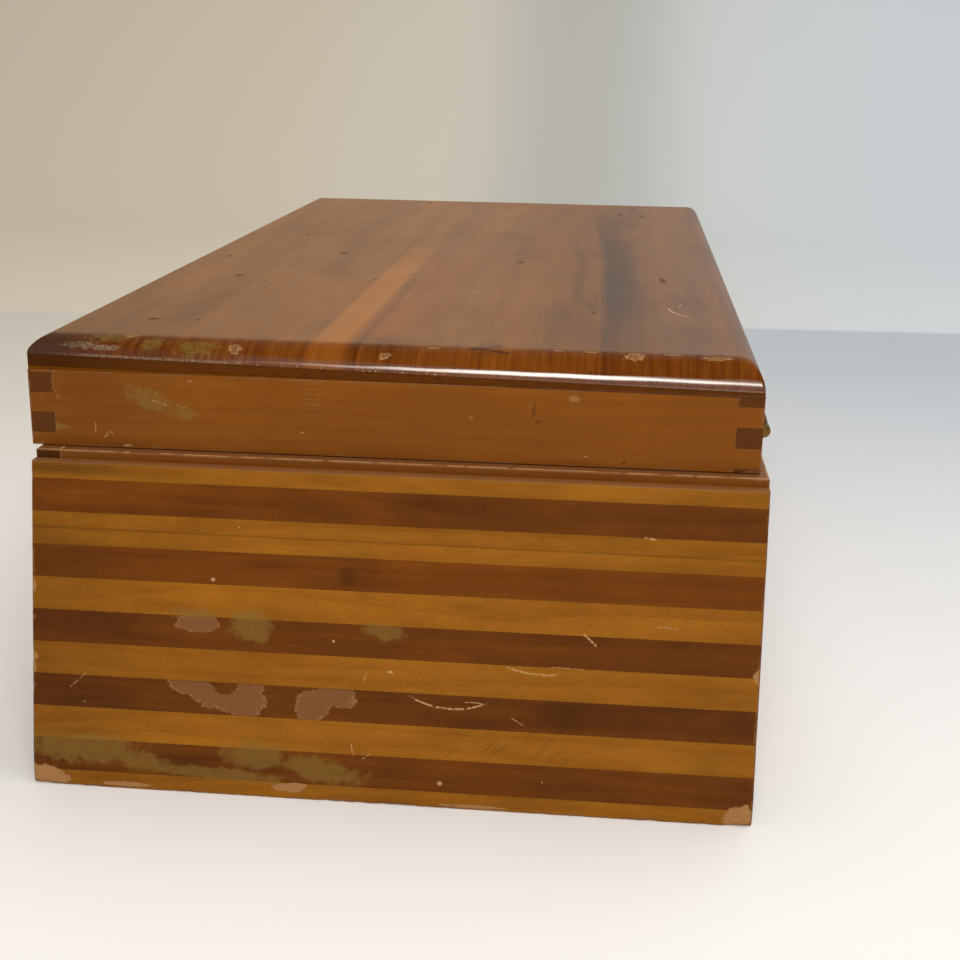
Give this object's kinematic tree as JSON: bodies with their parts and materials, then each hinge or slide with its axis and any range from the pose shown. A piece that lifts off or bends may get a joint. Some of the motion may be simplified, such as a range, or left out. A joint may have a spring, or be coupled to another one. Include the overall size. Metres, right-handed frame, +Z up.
{
  "type": "wooden chest",
  "caption": "Low rectangular finger-jointed wooden chest with a hinged overlaid lid and splayed striped panels on its short ends.",
  "frame": {"origin": "on the surface it stands on, under the middle of the case", "axes": "+X across the short ends towards the hinge side, +Y along the hinge side towards the far end, +Z up"},
  "size_m": [0.24, 0.4968, 0.1396],
  "materials": {
    "case_wood": "amber varnish, aged, glossy",
    "lid_wood": "amber varnish, aged, glossy",
    "top_wood": "amber varnish, glossy, scuffed",
    "light_strip": "amber varnish, satin",
    "dark_strip": "amber varnish, satin",
    "wedge_wood": "amber varnish, satin",
    "bottom_wood": "bare, aged",
    "brass": "dull, aged",
    "brass_screws": "dull, aged"
  },
  "bodies": {
    "case": {"case_side_left": "case_wood", "case_side_right": "case_wood", "case_end_near": "case_wood", "case_end_far": "case_wood", "case_bottom": "bottom_wood", "wedge_near": "wedge_wood", "wedge_far": "wedge_wood", "near_strip_1": "light_strip", "near_strip_2": "dark_strip", "near_strip_3": "light_strip", "near_strip_4": "dark_strip", "near_strip_5": "light_strip", "near_strip_6": "dark_strip", "near_strip_7": "light_strip", "near_strip_8": "dark_strip", "near_strip_9": "light_strip", "near_strip_10": "dark_strip", "near_strip_11": "light_strip", "far_strip_1": "light_strip", "far_strip_2": "dark_strip", "far_strip_3": "light_strip", "far_strip_4": "dark_strip", "far_strip_5": "light_strip", "far_strip_6": "dark_strip", "far_strip_7": "light_strip", "far_strip_8": "dark_strip", "far_strip_9": "light_strip", "far_strip_10": "dark_strip", "far_strip_11": "light_strip", "hinge_case_leaf_near": "brass", "hinge_pin_near": "brass", "hinge_case_leaf_far": "brass", "hinge_pin_far": "brass", "hinge_case_screws": "brass_screws", "latch_spacer": "brass", "latch_pivot_screw": "brass_screws"},
    "lid": {"lid_top": "top_wood", "lid_side_left": "lid_wood", "lid_side_right": "lid_wood", "lid_end_near": "lid_wood", "lid_end_far": "lid_wood", "hinge_lid_leaf_near": "brass", "hinge_lid_leaf_far": "brass", "hinge_lid_screws": "brass_screws", "latch_peg": "brass_screws"},
    "hook": {"latch_hook": "brass"}
  },
  "joints": [
    {"name": "lid_hinge", "type": "hinge", "parent": "case", "child": "lid", "pos_m": [0.1174, 0, 0.10575], "axis": [0, 1, 0], "range_deg": [0, 180]},
    {"name": "hook_swing", "type": "hinge", "parent": "case", "child": "hook", "pos_m": [-0.1176, 0, 0.088], "axis": [1, 0, 0], "range_deg": [-90, 180]}
  ]
}
